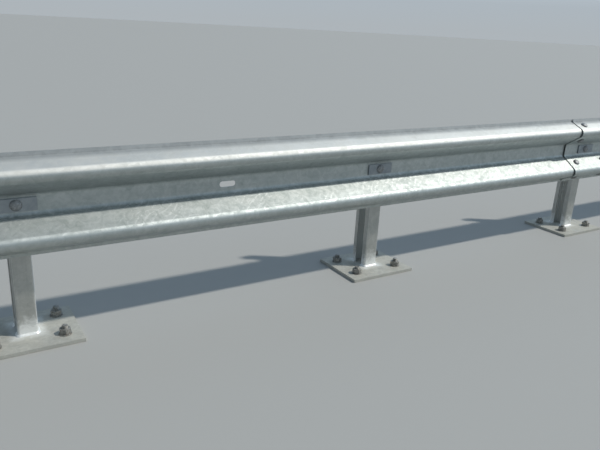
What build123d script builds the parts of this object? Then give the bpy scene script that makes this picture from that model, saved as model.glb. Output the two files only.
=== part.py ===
from build123d import *
import os

os.makedirs("parts", exist_ok=True)

# Six bays of roadside guardrail, in millimetres.
# X runs along the rail, to the right as seen from the road, Y away from the road and Z up.
# The origin is on the underside of the middle base plate, at its centre.

# Row
bays = 6
bay = 4000 / 3
post_places = [(number - bays / 2) * bay for number in range(bays + 1)]
rail_height = 432

# Base plate
plate_long = 300
plate_deep = 250
plate_thick = 12
anchor_spacing_x = 200
anchor_spacing_y = 140
anchor_hole = 11

# Post, a cold-formed channel with lips, open to the left
post_wide = 60
post_deep = 90
post_lip = 25
post_wall = 4
post_bend = 8
post_front = -30
post_top = 532
bolt_hole = 9

# Rail panel, a sheet rolled into two crests with a valley between them
sheet = 3
panel_long = 4318
lap = 318
lap_step = 7.5
step_from = 250
step_to = 1150
valley = (0, 30.8)
crest = (-102.1, 100.8)
lip_bend = (-13.75, 140.9)
lip_end = (-9.65, 155.2)
valley_bend = 19.5
crest_bend = 21.5
lip_radius = 13.5

# Holes and slots that the row's own bolts fill are drawn with sixteen sides, which keeps the mesh light
bolt_sides = 16

# Slots in the rail
slot_long = 60
slot_high = 20
splice_long = 30
splice_high = 18
splice_spacing = 216
inner_row = (-40.5, 56.5)
outer_row = (-44, 128.5)
inner_normal = (-0.566, -0.824)
outer_normal = (-0.413, 0.911)

# Washer plate in the valley
washer_long = 115
washer_high = 40
washer_thick = 5


# The base plate is cut from flat bar, with one clearance hole in each corner.
with BuildPart() as base_plate:
    with BuildSketch() as plate_outline:
        Rectangle(plate_long, plate_deep)
        with GridLocations(anchor_spacing_x, anchor_spacing_y, 2, 2):
            Circle(anchor_hole, mode=Mode.SUBTRACT)
    extrude(amount=plate_thick)

# The post's section is one strip bent at four corners, drawn along its outer face.
with BuildPart() as post:
    left = -post_wide / 2
    right = post_wide / 2
    rear = post_front + post_deep
    with BuildSketch(Plane.XY.offset(plate_thick)) as channel:
        with BuildLine():
            FilletPolyline(
                (left, post_front + post_lip),
                (left, post_front),
                (right, post_front),
                (right, rear),
                (left, rear),
                (left, rear - post_lip),
                radius=post_bend,
            )
            offset(amount=post_wall, side=Side.LEFT)
        make_face()
    extrude(amount=post_top - plate_thick)
    with BuildSketch(Plane.XZ.offset(-post_front)) as bolt_place:
        with Locations((0, rail_height)):
            RegularPolygon(bolt_hole, bolt_sides)
    extrude(amount=-post_wall, mode=Mode.SUBTRACT)

# The washer plate lies flat in the valley and spreads the pull of the post bolt.
with BuildPart() as washer_plate:
    with BuildSketch(Plane.XZ) as washer_outline:
        Rectangle(washer_long, washer_high)
        RegularPolygon(bolt_hole, bolt_sides, mode=Mode.SUBTRACT)
    extrude(amount=washer_thick)

# The rail's section is drawn along its back, from the bottom lip to the top lip.
upper_half = [valley, crest, lip_bend, lip_end]
lower_half = [(back, -up) for back, up in reversed(upper_half)]
with BuildSketch() as rail_section:
    with BuildLine():
        FilletPolyline(
            *lower_half,
            *upper_half,
            radius=[lip_radius, crest_bend, valley_bend, valley_bend, crest_bend, lip_radius],
        )
        offset(amount=sheet, side=Side.LEFT)
    make_face()

# One splice has four slots on each side of the post, punched square to the four slopes.
with BuildSketch() as splice_slot:
    with GridLocations(splice_long - splice_high, 0, 2, 1):
        RegularPolygon(splice_high / 2, bolt_sides)
    Rectangle(splice_long - splice_high, splice_high)
with BuildPart() as splice_punch:
    for side in (1, -1):
        for (back, up), (normal_y, normal_z) in ((inner_row, inner_normal), (outer_row, outer_normal)):
            slope = Plane(origin=(0, back, side * up), x_dir=(1, 0, 0), z_dir=(0, normal_y, side * normal_z))
            with BuildSketch(slope):
                with GridLocations(splice_spacing, 0, 2, 1):
                    add(splice_slot.sketch)
            extrude(amount=2 * sheet, both=True)

# A post bolt passes through a long slot in the valley.
with BuildPart() as post_bolt_punch:
    with BuildSketch(Plane.XZ):
        with GridLocations(slot_long - slot_high, 0, 2, 1):
            RegularPolygon(slot_high / 2, bolt_sides)
        Rectangle(slot_long - slot_high, slot_high)
    extrude(amount=2 * sheet, both=True)

# The spare slot at mid-panel, between two posts, takes the bolt of an extra post.
with BuildPart() as spare_punch:
    with BuildSketch(Plane.XZ):
        SlotOverall(slot_long, slot_high)
    extrude(amount=2 * sheet, both=True)

# The left panel lies straight against its four posts.
row_end = bays / 2 * bay + lap / 2
with BuildPart() as rail_left:
    with BuildSketch(Plane(origin=(-row_end, post_front, rail_height), x_dir=(0, 1, 0), z_dir=(1, 0, 0))):
        add(rail_section.sketch)
    extrude(amount=panel_long)
    with Locations((-3 * bay, post_front, rail_height), (0, post_front, rail_height)):
        add(splice_punch.part, mode=Mode.SUBTRACT)
    with Locations([(x, post_front, rail_height) for x in post_places[:4]]):
        add(post_bolt_punch.part, mode=Mode.SUBTRACT)
    with Locations((-1.5 * bay, post_front, rail_height)):
        add(spare_punch.part, mode=Mode.SUBTRACT)

# The right panel bends forward by just over its own thickness to lie over the left panel's end.
lap_front = post_front - lap_step
with BuildPart() as rail_right:
    with BuildLine() as run:
        Polyline(
            (row_end, post_front, rail_height),
            (step_to, post_front, rail_height),
            (step_from, lap_front, rail_height),
            (-lap / 2, lap_front, rail_height),
        )
    with BuildSketch(Plane(origin=(row_end, post_front, rail_height), x_dir=(0, 1, 0), z_dir=(1, 0, 0))):
        add(rail_section.sketch)
    sweep(path=run.line, transition=Transition.RIGHT)
    with Locations((3 * bay, post_front, rail_height), (0, lap_front, rail_height)):
        add(splice_punch.part, mode=Mode.SUBTRACT)
    with Locations((0, lap_front, rail_height)):
        add(post_bolt_punch.part, mode=Mode.SUBTRACT)
    with Locations([(x, post_front, rail_height) for x in post_places[4:]]):
        add(post_bolt_punch.part, mode=Mode.SUBTRACT)
    with Locations((1.5 * bay, post_front, rail_height)):
        add(spare_punch.part, mode=Mode.SUBTRACT)

rail_left.part.label = "rail_left"
export_step(rail_left.part, "parts/rail_left.step")
rail_right.part.label = "rail_right"
export_step(rail_right.part, "parts/rail_right.step")

# Each post stands on its own plate, and its washer plate lies on the rail in front of it.
for number, x in enumerate(post_places, start=1):
    rail_front = (lap_front if x == 0 else post_front) - sheet
    with BuildPart() as placed_plate:
        with Locations((x, 0, 0)):
            add(base_plate.part)
    placed_plate.part.label = f"base_plate_{number}"
    export_step(placed_plate.part, f"parts/base_plate_{number}.step")
    with BuildPart() as placed_post:
        with Locations((x, 0, 0)):
            add(post.part)
    placed_post.part.label = f"post_{number}"
    export_step(placed_post.part, f"parts/post_{number}.step")
    with BuildPart() as placed_washer:
        with Locations((x, rail_front, rail_height)):
            add(washer_plate.part)
    placed_washer.part.label = f"washer_plate_{number}"
    export_step(placed_washer.part, f"parts/washer_plate_{number}.step")
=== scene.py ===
# %% [markdown]
# # A highway guardrail section
# The real object is a run of steel rail, rolled into two crests with a valley between them, bolted to a
# row of short channel posts. Each post is welded to a plate, and each plate is held down by four studs.
# Rail, posts and plates are dipped in molten zinc after they are cut and punched, so they share one grey
# skin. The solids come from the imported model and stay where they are. This script dresses them in their
# zinc, and adds the small steel parts that hold the row together: bolts, nuts, washers, studs and welds.

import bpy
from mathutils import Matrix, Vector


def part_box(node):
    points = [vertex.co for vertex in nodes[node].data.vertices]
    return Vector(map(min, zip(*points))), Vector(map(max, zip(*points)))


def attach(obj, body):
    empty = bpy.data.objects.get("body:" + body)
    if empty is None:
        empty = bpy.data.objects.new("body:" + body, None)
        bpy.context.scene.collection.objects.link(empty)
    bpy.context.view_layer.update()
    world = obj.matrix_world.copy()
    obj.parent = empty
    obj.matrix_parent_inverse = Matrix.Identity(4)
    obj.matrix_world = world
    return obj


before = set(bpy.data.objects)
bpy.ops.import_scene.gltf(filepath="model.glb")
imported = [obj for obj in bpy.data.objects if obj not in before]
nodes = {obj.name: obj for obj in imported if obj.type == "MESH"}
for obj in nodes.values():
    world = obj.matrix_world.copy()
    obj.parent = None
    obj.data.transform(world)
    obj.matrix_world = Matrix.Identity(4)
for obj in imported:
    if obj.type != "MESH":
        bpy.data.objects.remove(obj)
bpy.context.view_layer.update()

# %% [markdown]
# ## Where everything is
# A few lengths tie the added parts to the solids. They are read from the boxes of the nodes where a box
# gives them, and written down where it doesn't, such as the slope of the rail and the places of its
# slots. That way a bolt sits on the steel that carries it, whatever side it is seen from.

# %% Places on the row
import math
import random
import bmesh
import bpy
from mathutils import Matrix, Vector, noise

mm = 0.001


def left_to_right(start):
    """The names of the solids that begin with start, in their order along the row."""
    return sorted((name for name in nodes if name.startswith(start)), key=lambda name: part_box(name)[0].x)


posts = left_to_right("post_")
post_x = [(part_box(name)[0].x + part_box(name)[1].x) / 2 for name in posts]
plate_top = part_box("base_plate_1")[1].z
post_low, post_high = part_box("post_1")
post_half_wide = (post_high.x - post_low.x) / 2
post_half_deep = (post_high.y - post_low.y) / 2
post_middle = (post_high.y + post_low.y) / 2
bay = post_x[1] - post_x[0]
rail_height = (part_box("rail_left")[0].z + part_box("rail_left")[1].z) / 2
print("posts stand at", [round(x, 3) for x in post_x], "on plates", round(plate_top * 1000, 1), "mm thick")

# %% [markdown]
# ## The camera
# The camera is in front of the rail, just left of the second post and half a metre above the rail's
# middle, looking to the right and down. Its place was found by lining up the lips, the posts, the plates
# and the lap with the picture. It is tipped by three degrees, and nothing of its lens is shifted. The
# focal length came out in pixels of the picture, so it is turned into millimetres on the sensor.

# %% Camera
picture_wide, focal_pixels, sensor_wide = 600, 604, 36
turned_right, lowered, tipped = 32.66, 18.55, 3.1
camera_place = (-2.8665, -1.8583, 0.9701)

camera_data = bpy.data.cameras.new("camera")
camera_data.sensor_width = sensor_wide
camera_data.lens = sensor_wide * focal_pixels / picture_wide
camera = bpy.data.objects.new("camera", camera_data)
bpy.context.scene.collection.objects.link(camera)
turn_right = Matrix.Rotation(math.radians(-turned_right), 4, "Z")
look_down = Matrix.Rotation(math.radians(90 - lowered), 4, "X")
tip = Matrix.Rotation(math.radians(tipped), 4, "Z")
camera.matrix_world = Matrix.Translation(camera_place) @ turn_right @ look_down @ tip
bpy.context.scene.camera = camera
print("lens", round(camera_data.lens, 2), "mm on a", sensor_wide, "mm sensor")

# %% [markdown]
# ## Floor
# Zinc is a metal, so it looks like what stands round it. A plain floor and an even sky give it something
# calm to mirror. The floor is a wide disc, a hair below the plates so that the two don't flicker where
# they touch. It is pale, but not white, or the undersides of the crests would be too bright.

# %% Floor
floor_reach, floor_gap = 90, 0.0004
floor_color = (0.40, 0.395, 0.375)


def new_node(tree, kind, **settings):
    """A node of that kind, with some of its settings changed."""
    node = tree.nodes.new(kind)
    for name, value in settings.items():
        setattr(node, name, value)
    return node


def plain_material(name, color, roughness, metallic=0.0):
    """A material with one Principled shader, and the tree and shader to add detail to."""
    made = bpy.data.materials.new(name)
    made.use_nodes = True
    shader = made.node_tree.nodes["Principled BSDF"]
    shader.inputs["Base Color"].default_value = (*color, 1)
    shader.inputs["Roughness"].default_value = roughness
    shader.inputs["Metallic"].default_value = metallic
    return made, made.node_tree, shader


floor_bm = bmesh.new()
bmesh.ops.create_circle(floor_bm, cap_ends=True, segments=96, radius=floor_reach)
bmesh.ops.translate(floor_bm, verts=floor_bm.verts, vec=(0, 0, -floor_gap))
floor_mesh = bpy.data.meshes.new("floor")
floor_bm.to_mesh(floor_mesh)
floor_bm.free()
floor = bpy.data.objects.new("floor", floor_mesh)
bpy.context.scene.collection.objects.link(floor)
floor.data.materials.append(plain_material("pale_floor", floor_color, 0.9)[0])
print("a pale floor,", 2 * floor_reach, "m across")

# %% [markdown]
# ## Sky
# A real sky is palest low down and deep blue overhead. The slopes of the rail mirror it, so this one
# turns bluer with height in the same way, and is brighter on the sun's side, but is one calm tone where
# it meets the floor. A ramp gives the colour for each height, and a sum gives how much brighter it is
# towards the sun. The eye and the metal see the same floor and the same sky, so what the rail mirrors is
# what stands round it.

# %% Sums on sockets
def socket_math(tree, kind, one, two=0):
    """The result of one sum on sockets or numbers."""
    node = new_node(tree, "ShaderNodeMath", operation=kind)
    for place, value in zip(node.inputs, (one, two)):
        if isinstance(value, (int, float)):
            place.default_value = value
        else:
            tree.links.new(value, place)
    return node.outputs[0]


def plus(tree, one, two):
    """Two sockets or numbers, added."""
    return socket_math(tree, "ADD", one, two)


def times(tree, one, two):
    """Two sockets or numbers, multiplied."""
    return socket_math(tree, "MULTIPLY", one, two)


def between(tree, value, low, high, to_low=0.0, to_high=1.0):
    """A value's range from low to high, stretched to another range and kept in it."""
    node = new_node(tree, "ShaderNodeMapRange")
    for name, number in zip(("From Min", "From Max", "To Min", "To Max"), (low, high, to_low, to_high)):
        node.inputs[name].default_value = number
    tree.links.new(value, node.inputs["Value"])
    return node.outputs["Result"]


def along_axes(tree, vector):
    """The X, Y and Z parts of a vector, each on its own socket."""
    node = new_node(tree, "ShaderNodeSeparateXYZ")
    tree.links.new(vector, node.inputs[0])
    return node.outputs


print("sums: socket_math(), plus(), times(), between(), along_axes()")

# %% Sky
lowest_sky, highest_sky = (0.42, 0.46, 0.49), (0.18, 0.28, 0.42)
sky_bands = ((0.16, (0.40, 0.49, 0.58)), (0.63, (0.37, 0.49, 0.62)), (0.82, (0.30, 0.42, 0.56)))
dimmest, brightest = -0.4, 0.8

bpy.context.scene.view_settings.view_transform = "Standard"
world = bpy.data.worlds.new("sky")
world.use_nodes = True
bpy.context.scene.world = world
sky = world.node_tree
looking = along_axes(sky, new_node(sky, "ShaderNodeTexCoord").outputs["Generated"])
sky_colors = new_node(sky, "ShaderNodeValToRGB")
sky_colors.color_ramp.elements[0].color = (*lowest_sky, 1)
sky_colors.color_ramp.elements[1].color = (*highest_sky, 1)
for height, color in sky_bands:
    sky_colors.color_ramp.elements.new(height).color = (*color, 1)
sky.links.new(looking["Z"], sky_colors.inputs["Fac"])

sunny = between(sky, looking["X"], 0.25, 0.65, dimmest, brightest)
sunny = times(sky, sunny, between(sky, looking["Z"], 0.04, 0.2))
sunward = new_node(sky, "ShaderNodeVectorMath", operation="SCALE")
sky.links.new(sky_colors.outputs["Color"], sunward.inputs[0])
sky.links.new(plus(sky, sunny, 1), sunward.inputs["Scale"])
sky.links.new(sunward.outputs[0], sky.nodes["Background"].inputs["Color"])
sky.nodes["Background"].inputs["Strength"].default_value = 1.0
print("a sky of", len(sky_colors.color_ramp.elements), "tones")

# %% [markdown]
# ## Sun
# One soft sun from the front right, high up, brings out the crests and throws the rail's shadow on the
# posts. Its disc is a few degrees wide, which softens the edges of the shadows, and its light is a
# little warm, against the blue of the sky.

# %% Sun
sunbeam = Vector((-0.775, 0.47, -1.0))

sun_data = bpy.data.lights.new("soft_sun", "SUN")
sun_data.energy = 2.6
sun_data.color = (1.0, 0.965, 0.9)
sun_data.angle = math.radians(2.5)
sun = bpy.data.objects.new("soft_sun", sun_data)
bpy.context.scene.collection.objects.link(sun)
sun.rotation_mode = "QUATERNION"
sun.rotation_quaternion = sunbeam.to_track_quat("-Z", "Y")
print("one soft sun of strength", round(sun_data.energy, 1))

# %% [markdown]
# ## The zinc skin
# Hot-dip zinc freezes into crystals, called spangle, a centimetre or two across. Each one leans its own
# way, so each is a little lighter or darker and a little duller or brighter than its neighbours. Over it
# lie broad cloudy patches, and pale curved marks where the steel was wiped and dragged. A picture of
# spangle would repeat along eight metres of rail. Here every layer is worked out from the place on the
# piece, in metres, so that it never repeats and keeps its real size.

# %% Patterns in the zinc
def object_place(tree, scale=(1, 1, 1), turn=(0, 0, 0)):
    """Where a point is on the piece, in metres, stretched or turned for a pattern."""
    place = new_node(tree, "ShaderNodeTexCoord")
    mapping = new_node(tree, "ShaderNodeMapping")
    mapping.inputs["Scale"].default_value = scale
    mapping.inputs["Rotation"].default_value = [math.radians(a) for a in turn]
    tree.links.new(place.outputs["Object"], mapping.inputs["Vector"])
    return mapping.outputs["Vector"]


def clouds(tree, place, scale, detail, rough, warp=0.0):
    """Soft noise from 0 to 1."""
    node = new_node(tree, "ShaderNodeTexNoise")
    node.inputs["Scale"].default_value = scale
    node.inputs["Detail"].default_value = detail
    node.inputs["Roughness"].default_value = rough
    node.inputs["Distortion"].default_value = warp
    tree.links.new(place, node.inputs["Vector"])
    return node.outputs["Fac"]


def spangle(tree, place, per_metre):
    """One random shade for each zinc crystal."""
    crystals = new_node(tree, "ShaderNodeTexVoronoi")
    crystals.inputs["Scale"].default_value = per_metre
    tree.links.new(place, crystals.inputs["Vector"])
    shade = new_node(tree, "ShaderNodeSeparateColor")
    tree.links.new(crystals.outputs["Color"], shade.inputs[0])
    return shade.outputs["Red"]


def drag_marks(tree, place, small, upward):
    """Pale curls in broken groups, on what faces up."""
    curls = new_node(tree, "ShaderNodeTexWave")
    for name, amount in (("Scale", 16), ("Distortion", 9), ("Detail", 2), ("Detail Scale", 0.8)):
        curls.inputs[name].default_value = amount
    tree.links.new(object_place(tree, turn=(0, -34, 39)), curls.inputs["Vector"])
    lines = between(tree, curls.outputs["Fac"], 0.7, 1.0)
    here = between(tree, clouds(tree, place, 4.5, detail=2, rough=0.5), 0.44, 0.56)
    broken = between(tree, small, 0.42, 0.6)
    marks = times(tree, times(tree, lines, here), broken)
    return times(tree, marks, upward)


print("zinc patterns: object_place(), clouds(), spangle(), drag_marks()")

# %% Colour and relief
def blend_colors(tree, share, one, two):
    """One colour turning into another as share goes from 0 to 1."""
    node = new_node(tree, "ShaderNodeMix", data_type="RGBA")
    for place, value in ((node.inputs[6], one), (node.inputs[7], two)):
        if isinstance(value, tuple):
            place.default_value = (*value, 1)
        else:
            tree.links.new(value, place)
    tree.links.new(share, node.inputs[0])
    return node.outputs[2]


def bump(tree, shader, height, distance):
    """Lets a height pattern catch the light."""
    node = new_node(tree, "ShaderNodeBump")
    node.inputs["Distance"].default_value = distance
    node.inputs["Strength"].default_value = 1.0
    tree.links.new(height, node.inputs["Height"])
    tree.links.new(node.outputs["Normal"], shader.inputs["Normal"])


print("colour and relief: blend_colors(), bump()")

# %% [markdown]
# ## Weather on the rail
# The top slope of the rail takes the rain and has gone pale, while the lower one is sheltered and keeps
# its shine. The upper lip is darkened with painted shade, a little on its bend and more on its edge: it
# stands in for the dark band of the lip and dims the glint its bend would catch. The bend at the top of
# each crest is scuffed and so a little duller, which keeps its bright line narrow. These layers could be
# painted by hand on an unrolled picture of the rail. But the rail has one section from end to end, so
# how high a point lies and how far it faces up find the same strip of steel over the whole length.

# %% Weather on the rail
# The second colour is painted shade for the upper lip.
rained_color, lip_shade_color = (0.75, 0.74, 0.70), (0.40, 0.42, 0.425)
above_valley = (0.42, 0.46)
lip_bend, lip_edge = (0.543, 0.566), (0.564, 0.572)


def weathered(tree, zinc, facing, at, large, pale):
    """The rail's zinc with its pale top slope and painted shade on its lip, and how much rougher it becomes.
    """
    rained = between(tree, facing["Z"], 0.1, 0.5)
    rained = times(tree, rained, between(tree, at["Z"], *above_valley))
    rained = times(tree, rained, between(tree, large, 0.25, 0.65, 0.75 * pale, pale))
    zinc = blend_colors(tree, rained, zinc, rained_color)
    # Painted shade: the upper lip is darkened, a little on its bend and more on its edge.
    lip = between(tree, at["Z"], *lip_bend, 0.0, 0.25)
    lip = plus(tree, lip, between(tree, at["Z"], *lip_edge, 0.0, 0.7))
    zinc = blend_colors(tree, lip, zinc, lip_shade_color)
    rougher = plus(tree, times(tree, rained, 0.12), times(tree, lip, 0.22))
    scuffed = between(tree, facing["Z"], 0.65, 0.8, 0.09, 0.0)
    scuffed = times(tree, scuffed, between(tree, facing["Z"], 0.2, 0.45))
    return zinc, plus(tree, rougher, scuffed)


# From this height up, the lip carries painted shade.
print("the lip is grimy from", round(lip_bend[0] * 1000), "mm up")

# %% [markdown]
# ## Paint on the feet
# A weld burns the zinc away, so the welds are painted with a bright zinc paint, and the brush runs on
# over the foot of the post and the plate round it. Up the post's front the pale band is also a painted
# reflection of the sunlit plate, so it climbs the post further than it spreads on the plate, and height
# counts for less than half. The band is found by the distance from the nearest post, which is the same
# sum in every bay, roughened by noise so that its edge is uneven. The same sums find the steel behind
# each post's front flange, which is made paler as painted light: the light that bounces into the
# channel and catches its right corner.

# %% Paint on the feet
# This colour is zinc paint on the welds and, up the posts' fronts, a painted reflection of the sunlit plate.
paint_and_reflection_color = (0.84, 0.85, 0.83)
paint_edge, paint_and_reflection_climb = (0.008, 0.03), 0.45
behind_flange, inside_lips = (-0.0295, -0.0255), (-0.0285, -0.0265)


def painted(tree, zinc, at, small, paint, behind, metallic):
    """Zinc with paint round each foot, also a painted reflection up the post, and painted light behind the
    flange, and how metallic it stays.
    """
    across = socket_math(tree, "FLOORED_MODULO", plus(tree, at["X"], bay / 2), bay)
    across = socket_math(tree, "SUBTRACT", across, bay / 2)
    side = socket_math(tree, "SUBTRACT", socket_math(tree, "ABSOLUTE", across), post_half_wide)
    depth = socket_math(tree, "ABSOLUTE", socket_math(tree, "SUBTRACT", at["Y"], post_middle))
    depth = socket_math(tree, "SUBTRACT", depth, post_half_deep)
    # Height counts for less than half, so the painted reflection climbs the post's front.
    up = times(tree, socket_math(tree, "SUBTRACT", at["Z"], plate_top), paint_and_reflection_climb)
    away = socket_math(tree, "MAXIMUM", socket_math(tree, "MAXIMUM", side, depth), up)
    away = plus(tree, away, between(tree, small, 0.3, 0.7, -0.01, 0.01))
    paint_and_reflection = between(tree, away, *paint_edge, paint, 0.0)
    # Painted light: steel behind the front flange, inside the channel and at its right corner, is made
    # paler.
    inner_light_and_paint = between(tree, at["Y"], *behind_flange, 0.0, behind)
    inner_light_and_paint = times(tree, inner_light_and_paint, between(tree, across, *inside_lips))
    inner_light_and_paint = socket_math(tree, "MAXIMUM", inner_light_and_paint, paint_and_reflection)
    bare = socket_math(tree, "MAXIMUM", times(tree, inner_light_and_paint, 0.5), paint_and_reflection)
    return blend_colors(tree, inner_light_and_paint, zinc, paint_and_reflection_color), between(tree, bare, 0, 1, metallic, 0.3)


print("paint reaches", round(paint_edge[1] * 1000), "mm from each foot")

# %% [markdown]
# ## Rail, post, plate and washer finishes
# The four kinds of zinced steel come from one recipe with different amounts. The rail is the brightest,
# with large soft crystals and pale drag marks. The posts are cold-formed from thicker strip and come out
# duller, with faint runs straight down. The plates lie flat and collect dust. The washers are small and
# grey all over. Dust lies on what faces up, which the surface's own direction tells. The same crystals
# that change the colour also change the roughness, so that each one catches the light in its own way.

# %% Zinced steel
crystals_per_metre = 62
dust_color = (0.47, 0.45, 0.39)


def zinced(
    name, dark, light, dull, shiny, stretch, runs, strokes, dust, metallic, pale=0.0, paint=0.0, behind=0.0
):
    """Zinc with crystals, clouds, drag marks and runs along one direction, under a film of dust."""
    made, tree, shader = plain_material(name, light, dull, metallic)
    place = object_place(tree)
    at = along_axes(tree, place)
    facing = along_axes(tree, new_node(tree, "ShaderNodeNewGeometry").outputs["Normal"])
    upward = between(tree, facing["Z"], 0.35, 0.8)
    crystals = spangle(tree, place, crystals_per_metre)
    large = clouds(tree, place, 7, detail=5, rough=0.65, warp=0.6)
    small = clouds(tree, place, 38, detail=3, rough=0.7, warp=1.2)
    along = clouds(tree, object_place(tree, stretch), 1, detail=4, rough=0.6)

    shade = plus(tree, times(tree, crystals, 0.13), times(tree, large, 0.3))
    shade = plus(tree, shade, between(tree, small, 0.28, 0.72, 0.0, 0.4))
    shade = plus(tree, shade, times(tree, along, runs))
    shade = between(tree, shade, 0.2 + runs * 0.32, 0.63 + runs * 0.68, -0.5, 0.5)
    shade = times(tree, shade, between(tree, upward, 0, 1, 0.5, 1))
    shade = plus(tree, shade, 0.5)
    shade = plus(tree, shade, times(tree, drag_marks(tree, place, small, upward), strokes))
    zinc = blend_colors(tree, between(tree, shade, 0, 1), dark, light)

    rougher = 0.0
    if pale:
        zinc, rougher = weathered(tree, zinc, facing, at, large, pale)
    # Round the feet: zinc paint, a painted reflection up the posts, and painted light behind their flanges.
    if paint:
        zinc, still_metallic = painted(tree, zinc, at, small, paint, behind, metallic)
        tree.links.new(still_metallic, shader.inputs["Metallic"])
    dusty = between(tree, clouds(tree, place, 11, detail=6, rough=0.7), 0.3, 0.75)
    film = times(tree, times(tree, upward, dusty), dust)
    tree.links.new(blend_colors(tree, film, zinc, dust_color), shader.inputs["Base Color"])

    gloss = plus(tree, times(tree, crystals, 0.4), times(tree, small, 0.6))
    gloss = between(tree, gloss, 0.15, 0.8, dull, shiny)
    gloss = plus(tree, gloss, times(tree, film, 0.35))
    tree.links.new(plus(tree, gloss, rougher), shader.inputs["Roughness"])
    grain = clouds(tree, place, 420, detail=2, rough=0.6)
    bump(tree, shader, plus(tree, times(tree, grain, 0.12), along), 0.0006)
    return made


print("one recipe for zinced steel: zinced()")

# %% Four finishes
rail_zinc = zinced(
    "rail_zinc", dark=(0.31, 0.35, 0.34), light=(0.58, 0.61, 0.60), dull=0.58, shiny=0.45,
    stretch=(1.6, 30, 30), runs=0.25, strokes=0.7, dust=0.15, metallic=0.9, pale=0.9,
)
# On the posts, paint also sets a painted reflection up the front, and behind sets painted light in the
# channel.
post_zinc = zinced(
    "post_zinc", dark=(0.34, 0.35, 0.33), light=(0.59, 0.595, 0.565), dull=0.58, shiny=0.46,
    stretch=(70, 70, 3), runs=0.6, strokes=0.1, dust=0.2, metallic=0.85, paint=0.9, behind=0.9,
)
plate_zinc = zinced(
    "plate_zinc", dark=(0.34, 0.34, 0.31), light=(0.56, 0.55, 0.49), dull=0.7, shiny=0.58,
    stretch=(12, 12, 12), runs=0.2, strokes=0.1, dust=0.85, metallic=0.3, paint=0.75,
)
# The slow runs along the row give each washer its own tone and darken the washers at the left end: a painted
# shade for the dark ground they mirror there.
washer_zinc = zinced(
    "washer_zinc", dark=(0.17, 0.20, 0.23), light=(0.44, 0.47, 0.48), dull=0.58, shiny=0.48,
    stretch=(0.9, 0.4, 0.4), runs=1.2, strokes=0.1, dust=0.3, metallic=0.9,
)
print("four zinc finishes")

# %% [markdown]
# ## Dressing the solids
# The solids arrive as loose triangles. Their shape stays, but light shows every flat facet on the bends.
# A Weld modifier joins the triangles, a narrow Bevel rounds the sheared edges as the zinc does,
# an Edge Split keeps the true corners crisp, and weighted normals let the wide flats stay flat to the
# light while the bends between them shade smoothly.

# %% Dress the solids
joined_within = 0.00001
edge_rounding = 0.0005
rounded_above, crisp_above = math.radians(40), math.radians(38)


def dress(name, finish):
    """Gives one solid its finish, rounded edges and smooth bends."""
    piece = nodes[name]
    for place in piece.material_slots:
        place.material = finish
    for face in piece.data.polygons:
        face.use_smooth = True
    weld = piece.modifiers.new("join", "WELD")
    weld.merge_threshold = joined_within
    soften = piece.modifiers.new("soften", "BEVEL")
    soften.width = edge_rounding
    soften.segments = 2
    soften.limit_method = "ANGLE"
    soften.angle_limit = rounded_above
    crease = piece.modifiers.new("crease", "EDGE_SPLIT")
    crease.split_angle = crisp_above
    even = piece.modifiers.new("even", "WEIGHTED_NORMAL")
    even.mode = "FACE_AREA"
    even.weight = 90


finishes = {"rail": rail_zinc, "post": post_zinc, "base": plate_zinc, "washer": washer_zinc}
for name in nodes:
    dress(name, finishes[name.split("_")[0]])
print("dressed", len(nodes), "solids")

# %% [markdown]
# ## Small steel parts that are turned
# Bolts, nuts and washers are turned, forged or pressed, and each way has its match in mesh operators.
# A turned shape is a profile spun round an axis. A thread is one tooth wound up the rod by a spin that
# climbs. It could be drawn by a bump, but then the rod's outline would be smooth, and the studs stand
# where their outline shows. Each part is made upright at the origin and then carried to its place.

# %% Shapes that are turned
turned_steps, thread_steps = 32, 20
thread_depth, tip_share = 0.6134, 0.97
shape_joined_within = 0.00002


def spun(bm, profile):
    """A profile of (radius, height) pairs, in millimetres, spun into a closed shape."""
    points = [bm.verts.new((radius * mm, 0, height * mm)) for radius, height in profile]
    edges = [bm.edges.new(pair) for pair in zip(points, points[1:])]
    if profile[0][0] and profile[-1][0]:
        edges.append(bm.edges.new((points[-1], points[0])))
    bmesh.ops.spin(
        bm, geom=points + edges, cent=(0, 0, 0), axis=(0, 0, 1), angle=math.tau, steps=turned_steps,
        use_merge=True,
    )


def threaded_rod(bm, radius, pitch, bottom, top):
    """A rod with a real thread, in millimetres, cut off square at both ends and with its tip turned down."""
    root = radius - thread_depth * pitch
    turns = math.ceil((top - bottom) / pitch) + 2
    tooth = [(root, bottom - pitch), (radius, bottom - pitch / 2), (root, bottom)]
    points = [bm.verts.new((out * mm, 0, up * mm)) for out, up in tooth]
    edges = [bm.edges.new(pair) for pair in zip(points, points[1:])]
    bmesh.ops.spin(
        bm, geom=points + edges, cent=(0, 0, 0), axis=(0, 0, 1), dvec=(0, 0, pitch * mm / thread_steps),
        angle=math.tau * turns, steps=thread_steps * turns, use_merge=False,
    )
    bmesh.ops.remove_doubles(bm, verts=bm.verts, dist=shape_joined_within)
    for height, side in ((bottom * mm, -1), (top * mm, 1)):
        bmesh.ops.bisect_plane(
            bm, geom=bm.verts[:] + bm.edges[:] + bm.faces[:], plane_co=(0, 0, height), plane_no=(0, 0, side),
            clear_outer=True,
        )
    for point in bm.verts:
        room = root * mm * tip_share + (top * mm - point.co.z)
        spread = math.hypot(point.co.x, point.co.y)
        if spread > room:
            point.co.x *= room / spread
            point.co.y *= room / spread
    open_edges = [edge for edge in bm.edges if len(edge.link_faces) == 1]
    bmesh.ops.holes_fill(bm, edges=open_edges, sides=0)


print("turned shapes: spun(), threaded_rod()")

# %% [markdown]
# ## Nuts and washers
# A nut could be a plain six-sided prism, but a real one has its corners turned off by a cone at both
# ends. So here a ring of edges is pushed out again and again, and each new ring is told its radius and
# its height. Only the upper half is made, and a mirror gives the lower one.

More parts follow.
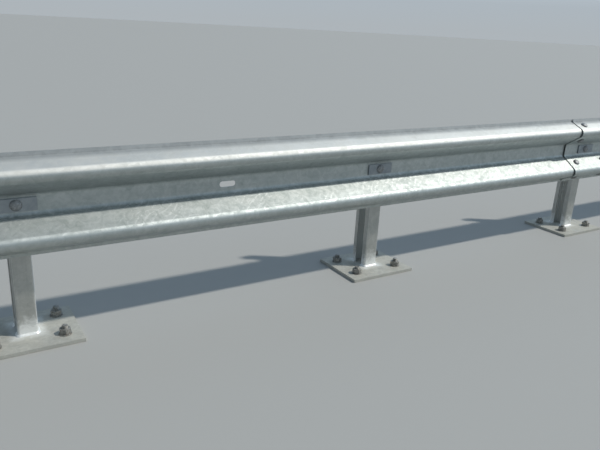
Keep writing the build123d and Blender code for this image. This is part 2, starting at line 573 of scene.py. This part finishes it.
# %% Shapes that are grown ring by ring
nut_points, flat_share = 36, 0.475
corner_cone = math.radians(30)
bore_lead, pressed_edge = 1, 0.4


def next_ring(bm, ring, place):
    """Pushes a ring of edges out once more. place(angle) gives each new point's radius and height in mm."""
    grown = bmesh.ops.extrude_edge_only(bm, edges=ring)["geom"]
    points = {part for part in grown if isinstance(part, bmesh.types.BMVert)}
    for point in points:
        angle = math.atan2(point.co.y, point.co.x)
        radius, height = place(angle)
        point.co = (radius * mm * math.cos(angle), radius * mm * math.sin(angle), height * mm)
    return [part for part in grown if isinstance(part, bmesh.types.BMEdge) and set(part.verts) <= points]


def hex_nut(bm, across, height, bore, base):
    """A nut standing on base: its bore, a flat ring, six sides, and corners turned off by a cone."""
    flat = flat_share * across
    half = height / 2

    def side(angle):
        return across / 2 / math.cos((angle + math.pi / 6) % (math.pi / 3) - math.pi / 6)

    def shoulder(angle):
        return side(angle), half - (side(angle) - flat) * math.tan(corner_cone)

    bmesh.ops.create_circle(bm, segments=nut_points, radius=bore * mm)
    ring = bm.edges[:]
    for place in (
        lambda angle: (bore, half - bore_lead),
        lambda angle: (bore + bore_lead, half),
        lambda angle: (flat, half),
        shoulder,
        lambda angle: (side(angle), 0),
    ):
        ring = next_ring(bm, ring, place)
    bmesh.ops.mirror(
        bm, geom=bm.verts[:] + bm.edges[:] + bm.faces[:], axis="Z", merge_dist=shape_joined_within
    )
    bmesh.ops.translate(bm, verts=bm.verts, vec=(0, 0, (base + half) * mm))


def flat_washer(bm, bore, rim, thick, base):
    """A pressed washer with softly rounded edges."""
    spun(bm, [
        (bore, base), (bore, base + thick), (rim - pressed_edge, base + thick),
        (rim, base + thick - pressed_edge), (rim, base + pressed_edge), (rim - pressed_edge, base),
    ])


print("grown shapes: hex_nut(), flat_washer()")

# %% [markdown]
# ## From meshes to a piece
# A bolt with its nut and washer is one piece of the row, so its small meshes are joined into one. Each
# is cleaned on its own first, because merging after they are joined could weld a nut to its thread. The
# place goes into the mesh and the piece stays at the origin, as the solids do, so that the patterns in
# its finish lie still.

# %% From meshes to a piece
shaded_flat_above = math.radians(34)


def add_piece(name, parts, place, finish):
    """Joins the small meshes in parts, carries them to their place and makes one piece of the row."""
    whole = bmesh.new()
    for make, *sizes in parts:
        bm = bmesh.new()
        make(bm, *sizes)
        bmesh.ops.remove_doubles(bm, verts=bm.verts, dist=joined_within)
        bmesh.ops.recalc_face_normals(bm, faces=bm.faces)
        scrap = bpy.data.meshes.new("scrap")
        bm.to_mesh(scrap)
        bm.free()
        whole.from_mesh(scrap)
        bpy.data.meshes.remove(scrap)
    bmesh.ops.transform(whole, matrix=place, verts=whole.verts)
    mesh = bpy.data.meshes.new(name)
    whole.to_mesh(mesh)
    whole.free()
    mesh.shade_smooth()
    mesh.set_sharp_from_angle(angle=shaded_flat_above)
    mesh.materials.append(finish)
    piece = bpy.data.objects.new(name, mesh)
    bpy.context.scene.collection.objects.link(piece)
    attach(piece, "root")


def upright(direction, at, turn):
    """The matrix that stands a part on at, with its axis along direction, turned about that axis."""
    lean = Vector(direction).to_track_quat("Z", "Y").to_matrix().to_4x4()
    return Matrix.Translation(at) @ lean @ Matrix.Rotation(turn, 4, "Z")


print("pieces are joined, placed and given to the row by add_piece()")

# %% [markdown]
# ## Dark bolt steel
# The bolts, nuts and studs are not dipped with the rest. In the picture they are much darker than the
# zinc, a brown-black steel with dust in its corners and the first freckles of rust. One colour would
# read as plastic, so the dark steel is broken up by fine clouds, and rust shows only where a second
# pattern runs high.

# %% Bolt steel
rust_color = (0.19, 0.09, 0.045)


def bolt_steel(name, dark, light, rusty):
    """Dark oiled steel broken up by fine clouds, with freckles of rust."""
    made, tree, shader = plain_material(name, dark, roughness=0.5, metallic=0.6)
    place = object_place(tree)
    fine = clouds(tree, place, 160, detail=4, rough=0.65)
    steel = blend_colors(tree, between(tree, fine, 0.3, 0.7), dark, light)
    freckles = between(tree, clouds(tree, place, 95, detail=5, rough=0.7), 0.56, 0.7, 0.0, rusty)
    tree.links.new(blend_colors(tree, freckles, steel, rust_color), shader.inputs["Base Color"])
    tree.links.new(between(tree, fine, 0.2, 0.8, 0.7, 0.48), shader.inputs["Roughness"])
    bump(tree, shader, fine, 0.0004)
    return made


stud_steel = bolt_steel("stud_steel", dark=(0.15, 0.145, 0.13), light=(0.42, 0.415, 0.385), rusty=0.55)
bolt_finish = bolt_steel("bolt_steel", dark=(0.20, 0.205, 0.205), light=(0.38, 0.39, 0.39), rusty=0.12)
print("two dark steels")

# %% [markdown]
# ## Anchor studs
# Each plate is held by four M20 studs that stand up through its holes. On each stud lie a washer and a
# nut, with a short end of thread above. From in front they look like small dark cones. No two nuts stop
# at the same angle and no two studs at quite the same height, so each stack is turned and cut by its own
# amount, drawn from a random series with a fixed seed.

# %% Anchor studs, washers and nuts
stud_spacing_x, stud_spacing_y = 0.2, 0.14
stud_washer, stud_above_plate = 3.5, 30

random.seed(20)
anchors = 0
for number, x in enumerate(post_x, start=1):
    for side_x, side_y, corner in ((-1, -1, "a"), (1, -1, "b"), (-1, 1, "c"), (1, 1, "d")):
        at = (x + side_x * stud_spacing_x / 2, side_y * stud_spacing_y / 2, 0)
        top = plate_top * 1000
        tall = top + stud_above_plate + random.uniform(-2, 3)
        stack = [
            (threaded_rod, 10, 2.5, 0, tall),
            (flat_washer, 10.6, 20, stud_washer, top),
            (hex_nut, 32, 17, 10.05, top + stud_washer),
        ]
        place = upright((0, 0, 1), at, random.uniform(0, math.tau))
        add_piece(f"anchor_{number}{corner}", stack, place, stud_steel)
        anchors += 1
print(anchors, "anchor studs on", len(post_x), "plates")

# %% [markdown]
# ## Post bolts
# One M16 bolt holds the rail to each post. Its wide low head pulls on the rectangular washer in the
# valley, and its nut is behind the post's front flange, inside the channel. The head's place in depth
# comes from the washer's own box, so at the lap, where the rail is two sheets thick, it moves forward.
# A bolt is drawn with its head's seat at height 0 and everything else below it, so that one number, the
# thickness of steel it grips, sets its length and the places of its washer and nut.

# %% An M16 bolt with its washer and nut
shank, bolt_nut, bolt_washer, thread_past_nut = 8, 13, 3, 5
dome_steps, dome_sweep = 7, 1.35


def dome(width, height):
    """The profile of a low round head, from its top on the axis down to its rim."""
    angles = [step / dome_steps * dome_sweep for step in range(dome_steps + 1)]
    curve = [(width / 2 * math.sin(angle), height * math.cos(angle)) for angle in angles]
    return [(radius * width / 2 / curve[-1][0], up) for radius, up in curve]


def domed_bolt(bm, width, height, length):
    """A round head on its seat at height 0, with a plain shank below it."""
    under_head = [(width / 2 - pressed_edge, 0), (shank, 0), (shank, -length), (0, -length)]
    spun(bm, [*dome(width, height), *under_head])


def bolt_and_nut(width, height, grip):
    """The parts of a bolt through grip millimetres of steel, its head that wide and high."""
    under_washer = -grip - bolt_washer
    under_nut = -grip - (bolt_washer + bolt_nut)
    tip = -grip - (bolt_washer + bolt_nut + thread_past_nut)
    return [
        (domed_bolt, width, height, grip + 4),
        (threaded_rod, shank, 2, tip, under_washer),
        (hex_nut, 24, bolt_nut, 8.05, under_nut),
        (flat_washer, 8.6, 15, bolt_washer, under_washer),
    ]


print("an M16 bolt: domed_bolt(), bolt_and_nut()")

# %% Post bolts
post_wall = 4
post_bolt_head = (34, 9)

washers = left_to_right("washer_")
flange_back = post_low.y + post_wall * mm
for number, (x, name) in enumerate(zip(post_x, washers), start=1):
    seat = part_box(name)[0].y
    grip = (flange_back - seat) * 1000
    place = upright((0, -1, 0), (x, seat, rail_height), random.uniform(0, math.tau))
    add_piece(f"post_bolt_{number}", bolt_and_nut(*post_bolt_head, grip), place, bolt_finish)
middle_washer = washers[len(washers) // 2]
middle_grip = (flange_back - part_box(middle_washer)[0].y) * 1000
print(len(washers), "post bolts, the middle one through", round(middle_grip, 1), "mm of steel")

# %% [markdown]
# ## Splice bolts
# Where the two panels lap, eight bolts clamp them together, four each side of the post. They stand
# square to the four slopes of the rail. The slopes are flat and run along the row, so one direction
# and one point for each of the four rows place them all. The panels are 7.5 mm apart front to back,
# which is less when it is measured square to a slope, so the inner and outer rows grip differently.

# %% Splice bolts
sheet, washer_plate, panel_step = 3, 5, 7.5
splice_bolt_head = (32, 8)
splice_from_middle = 0.108
# In front of the panel's back, above the rail's middle, and the slope's direction in Y and in Z
splice_rows = ((0.0405, 0.0565, -0.566, -0.824, "inner"), (0.044, 0.1285, -0.413, 0.911, "outer"))

panel_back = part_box(middle_washer)[0].y + (washer_plate + sheet) * mm
for forward, up, lean_y, lean_z, row in splice_rows:
    for level, half in ((1, "upper"), (-1, "lower")):
        out = Vector((0, lean_y, level * lean_z)).normalized()
        grip = sheet + panel_step * abs(out.y)
        for side_x, end in ((-1, "left"), (1, "right")):
            back = Vector((side_x * splice_from_middle, panel_back - forward, rail_height + level * up))
            place = upright(out, back + out * sheet * mm, random.uniform(0, math.tau))
            add_piece(
                f"splice_bolt_{half}_{row}_{end}", bolt_and_nut(*splice_bolt_head, grip), place,
                bolt_finish,
            )
print("8 splice bolts in four rows")

# %% [markdown]
# ## Weld beads
# A fillet weld runs round the outside of each post's foot, from one lip round to the other. It could be
# a plain wedge with mitred corners, but a bead turns the corners in an arc and is never quite even.
# Here its rounded wedge is walked round the foot: a spin without any turn carries it along a straight
# side, and a spin by a quarter turn carries it round a bend of the post. Small lumps are then pushed out
# of its face. In the picture the beads are the brightest thing at the foot: their near-white colour is
# fresh zinc paint and also a painted glint of the sun on the bead.

# %% Weld beads
bead_leg, post_bend = 6.5, 8
foot_left, foot_right, foot_front, foot_rear = -30, 30, -30, 60
lip_length, plate_thick = 24, 12
bead_pace, corner_steps = 2.6, 5
fine_lumps, broad_lumps, lump_height = 330, 120, 0.7


def weld_bead(bm, leg, bend):
    """A bead round the post's foot, in millimetres, standing on the plate."""
    left, right = foot_left + bend, foot_right - bend
    front, rear = foot_front + bend, foot_rear - bend
    wedge = [
        (-0.5, -0.2), (leg, -0.2), (leg * 0.86, leg * 0.3),
        (leg * 0.55, leg * 0.62), (leg * 0.24, leg * 0.9), (-0.5, leg),
    ]
    points = [
        bm.verts.new(((foot_left - out) * mm, (foot_front + lip_length) * mm, (plate_thick + up) * mm))
        for out, up in wedge
    ]
    geom = points + [bm.edges.new(pair) for pair in zip(points, points[1:] + points[:1])]
    walk = [
        ((0, -1), lip_length - bend, (left, front)),
        ((1, 0), right - left, (right, front)),
        ((0, 1), rear - front, (right, rear)),
        ((-1, 0), right - left, (left, rear)),
        ((0, -1), lip_length - bend, None),
    ]
    for (go_x, go_y), far, middle in walk:
        steps = round(far / bead_pace)
        step = Vector((go_x, go_y, 0)) * far * mm / steps
        geom = bmesh.ops.spin(
            bm, geom=geom, cent=(0, 0, 0), axis=(0, 0, 1), dvec=step, angle=0, steps=steps, use_merge=False
        )["geom_last"]
        if middle:
            geom = bmesh.ops.spin(
                bm, geom=geom, cent=(middle[0] * mm, middle[1] * mm, 0), axis=(0, 0, 1), angle=math.pi / 2,
                steps=corner_steps, use_merge=False,
            )["geom_last"]
    bmesh.ops.remove_doubles(bm, verts=bm.verts, dist=joined_within)
    bmesh.ops.holes_fill(bm, edges=[edge for edge in bm.edges if len(edge.link_faces) == 1], sides=0)
    for point in bm.verts:
        core = Vector((
            min(max(point.co.x, left * mm), right * mm),
            min(max(point.co.y, front * mm), rear * mm),
            point.co.z,
        ))
        out = point.co - core
        if out.length > (bend + 1) * mm:
            lump = noise.noise(point.co * fine_lumps) * lump_height
            lump += noise.noise(point.co * broad_lumps) * lump_height
            point.co += out.normalized() * lump * mm
    low = min(point.co.z for point in bm.verts)
    for point in bm.verts:
        point.co.z = max(point.co.z, low)


# The near-white colour is zinc paint and also a painted glint of the sun on the bead.
bead_paint_and_glint = zinced(
    "bead_paint_and_glint", dark=(0.66, 0.67, 0.65), light=(0.90, 0.91, 0.89), dull=0.5, shiny=0.36,
    stretch=(60, 60, 60), runs=0.3, strokes=0.1, dust=0.05, metallic=0.25,
)
for number, x in enumerate(post_x, start=1):
    bead = [(weld_bead, bead_leg, post_bend)]
    add_piece(f"post_weld_{number}", bead, Matrix.Translation((x, 0, 0)), bead_paint_and_glint)
print(len(post_x), "weld beads")
